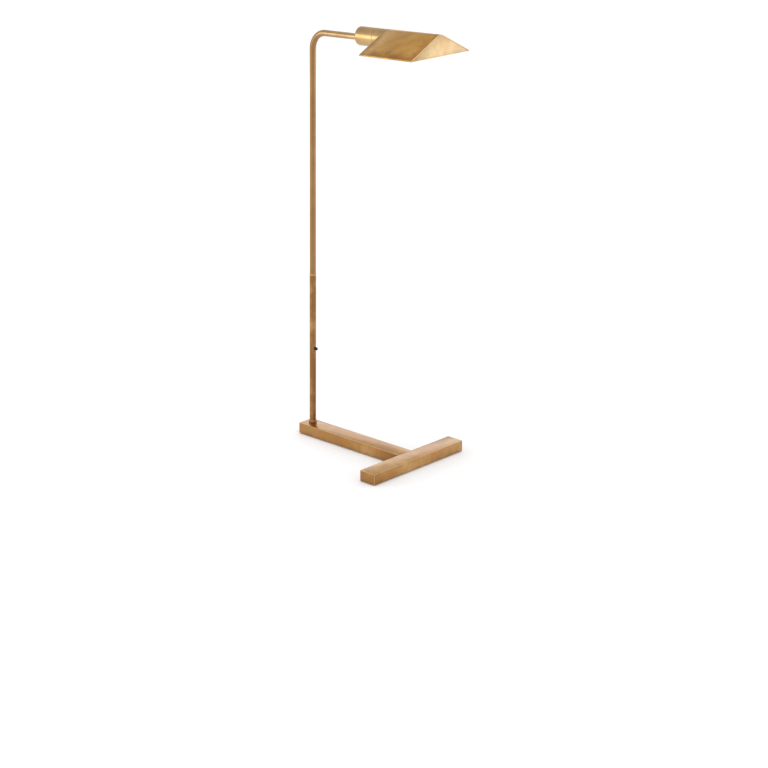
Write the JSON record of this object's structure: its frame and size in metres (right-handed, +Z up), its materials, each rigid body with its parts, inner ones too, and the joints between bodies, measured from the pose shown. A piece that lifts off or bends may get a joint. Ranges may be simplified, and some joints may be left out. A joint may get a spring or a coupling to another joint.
{
  "type": "adjustable arm floor lamp",
  "caption": "Floor lamp with a T base of flat bars, a telescoping pole bent into an arm, and a turning tent-shaped shade on a round socket cup, all in aged brass.",
  "frame": {"origin": "on the floor, under the middle of the lamp's bounding box", "axes": "+Z up, +X from the pole along the leg and under the arm towards the shade, +Y across the crossbar"},
  "size_m": [0.4748, 0.3586, 1.1771],
  "materials": {
    "base_brass": "aged, brushed along each bar, satin",
    "antique_brass": "aged, drawn tube with a satin polish",
    "shade_brass": "aged sheet, satin, warmer in the middle",
    "dark_brass": "darker turned brass",
    "blackened_steel": "blackened, satin",
    "bright_brass": "bright pressed brass",
    "plated_steel": "zinc plated",
    "nylon": "natural nylon",
    "rubber": "matt black rubber",
    "porcelain": "glazed ceramic",
    "bulb_glass": "frosted glass",
    "lead_sheath": "smooth brown sheath"
  },
  "bodies": {
    "base": {"base_leg": "base_brass", "base_crossbar": "base_brass", "base_screw_1": "plated_steel", "base_screw_2": "plated_steel", "foot_pad_1": "rubber", "foot_pad_2": "rubber", "foot_pad_3": "rubber", "foot_pad_4": "rubber", "pole_ferrule": "dark_brass", "outer_tube": "antique_brass", "tube_collar": "antique_brass", "pole_plug": "plated_steel", "pole_stud": "plated_steel", "pole_washer": "plated_steel", "pole_nut": "plated_steel", "cord_gland": "rubber", "lead_lower": "lead_sheath", "lock_boss": "blackened_steel"},
    "lock": {"lock_screw": "blackened_steel"},
    "guide": {"riser_guide": "nylon"},
    "arm": {"riser_tube": "antique_brass", "lead_upper": "lead_sheath", "arm_plug": "plated_steel", "arm_nipple": "plated_steel", "socket_cup": "antique_brass", "cup_washer": "plated_steel", "cup_nut": "plated_steel", "friction_sleeve": "nylon", "stop_screw": "plated_steel", "holder_body": "porcelain", "holder_shell": "bright_brass", "holder_contact": "bright_brass", "holder_terminal_1": "bright_brass", "holder_terminal_2": "bright_brass", "bulb_cap": "plated_steel", "bulb_glass": "bulb_glass", "bulb_stem": "bulb_glass"},
    "shade": {"shade_roof": "shade_brass", "shade_front_gable": "shade_brass", "shade_rear_gable": "shade_brass", "shade_collar": "antique_brass", "shade_ring": "plated_steel", "shade_screw_1": "plated_steel", "shade_screw_2": "plated_steel", "shade_screw_3": "plated_steel"}
  },
  "joints": [
    {"name": "height_slide", "type": "slide", "parent": "base", "child": "guide", "axis": [0, 0, 1], "range_m": [-0.16, 0]},
    {"name": "arm_swivel", "type": "hinge", "parent": "guide", "child": "arm", "pos_m": [-0.2073, 0, 0.217], "axis": [0, 0, 1], "range_deg": [-175, 175]},
    {"name": "shade_turn", "type": "hinge", "parent": "arm", "child": "shade", "pos_m": [0.02394, 0, 1.1427], "axis": [0.9991, 0, 0.0419], "range_deg": [-95, 95]},
    {"name": "lock_turn", "type": "hinge", "parent": "base", "child": "lock", "pos_m": [-0.1963, 0, 0.252], "axis": [1, 0, 0], "range_deg": [-720, 0]}
  ]
}
